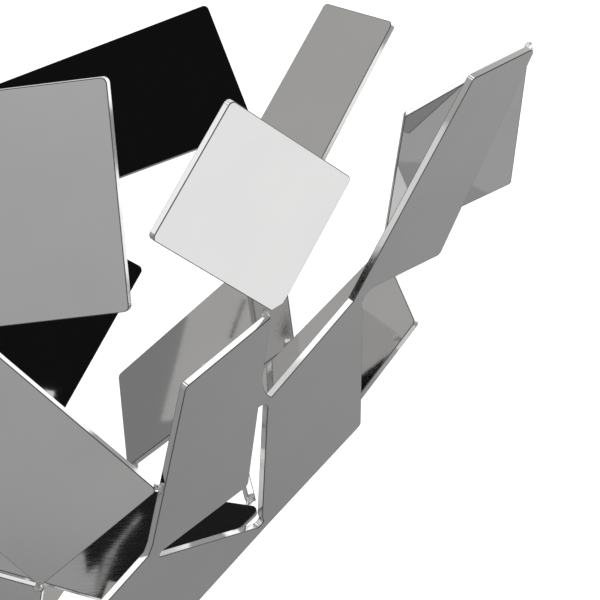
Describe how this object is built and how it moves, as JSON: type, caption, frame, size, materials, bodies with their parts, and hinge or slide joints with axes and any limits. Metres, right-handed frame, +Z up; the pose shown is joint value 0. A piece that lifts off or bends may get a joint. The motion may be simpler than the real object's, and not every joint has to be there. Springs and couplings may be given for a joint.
{
  "type": "polished sheet-steel centrepiece bowl",
  "caption": "Open bowl of flat, mirror-polished steel quadrilaterals joined corner to corner, standing on a flat base plate, to hold fruit or stand as an ornament.",
  "frame": {"origin": "centre of the bounding box in plan, on the surface the bowl stands on", "axes": "+Z up, +X towards the right wing tip, +Y towards the rear"},
  "size_m": [0.322, 0.255, 0.2292],
  "materials": {
    "polished_steel": "mirror polished",
    "weld_steel": "polished, slightly softer than the sheet"
  },
  "bodies": {
    "root": {"neck_left_cutout": "polished_steel", "neck_left_far": "polished_steel", "neck_left_foot": "polished_steel", "neck_left_wing": "polished_steel", "neck_right_cutout": "polished_steel", "neck_right_foot": "polished_steel", "neck_right_near": "polished_steel", "neck_right_wing": "polished_steel", "panel_base": "polished_steel", "panel_bottom_inner": "polished_steel", "panel_far_upper_square": "polished_steel", "panel_left_far_outer": "polished_steel", "panel_left_foot_outer": "polished_steel", "panel_left_front_tall": "polished_steel", "panel_left_link": "polished_steel", "panel_left_lower_inner": "polished_steel", "panel_left_lower_outer": "polished_steel", "panel_left_wing_inner": "polished_steel", "panel_left_wing_outer": "polished_steel", "panel_near_base_riser": "polished_steel", "panel_near_left_square": "polished_steel", "panel_near_left_tall": "polished_steel", "panel_near_upper_square": "polished_steel", "panel_rear_base_riser": "polished_steel", "panel_rear_left_middle": "polished_steel", "panel_rear_right_broad": "polished_steel", "panel_rear_right_tall": "polished_steel", "panel_rear_strut": "polished_steel", "panel_rear_top_long": "polished_steel", "panel_right_foot_outer": "polished_steel", "panel_right_lower_inner": "polished_steel", "panel_right_lower_outer": "polished_steel", "panel_right_near_outer": "polished_steel", "panel_right_wing_inner": "polished_steel", "panel_right_wing_outer": "polished_steel", "weld_base_to_near_base_riser": "weld_steel", "weld_base_to_rear_base_riser": "weld_steel", "weld_bottom_inner_to_rear_strut": "weld_steel", "weld_left_far_outer_to_far_upper_square": "weld_steel", "weld_left_foot_outer_to_base": "weld_steel", "weld_left_lower_inner_to_left_link": "weld_steel", "weld_left_wing_inner_to_left_lower_inner": "weld_steel", "weld_left_wing_outer_to_left_wing_inner": "weld_steel", "weld_near_left_square_to_left_front_tall": "weld_steel", "weld_near_left_square_to_left_link": "weld_steel", "weld_near_left_square_to_near_base_riser": "weld_steel", "weld_near_left_square_to_near_left_tall": "weld_steel", "weld_rear_right_broad_to_rear_base_riser": "weld_steel", "weld_rear_right_broad_to_rear_right_tall": "weld_steel", "weld_rear_right_broad_to_rear_strut": "weld_steel", "weld_rear_right_tall_to_rear_top_long": "weld_steel", "weld_rear_top_long_to_rear_left_middle": "weld_steel", "weld_right_foot_outer_to_base": "weld_steel", "weld_right_foot_outer_to_bottom_inner": "weld_steel", "weld_right_lower_inner_to_rear_right_broad": "weld_steel", "weld_right_near_outer_to_near_left_square": "weld_steel", "weld_right_near_outer_to_near_upper_square": "weld_steel", "weld_right_wing_inner_to_right_lower_inner": "weld_steel", "weld_right_wing_outer_to_right_wing_inner": "weld_steel"}
  },
  "joints": []
}
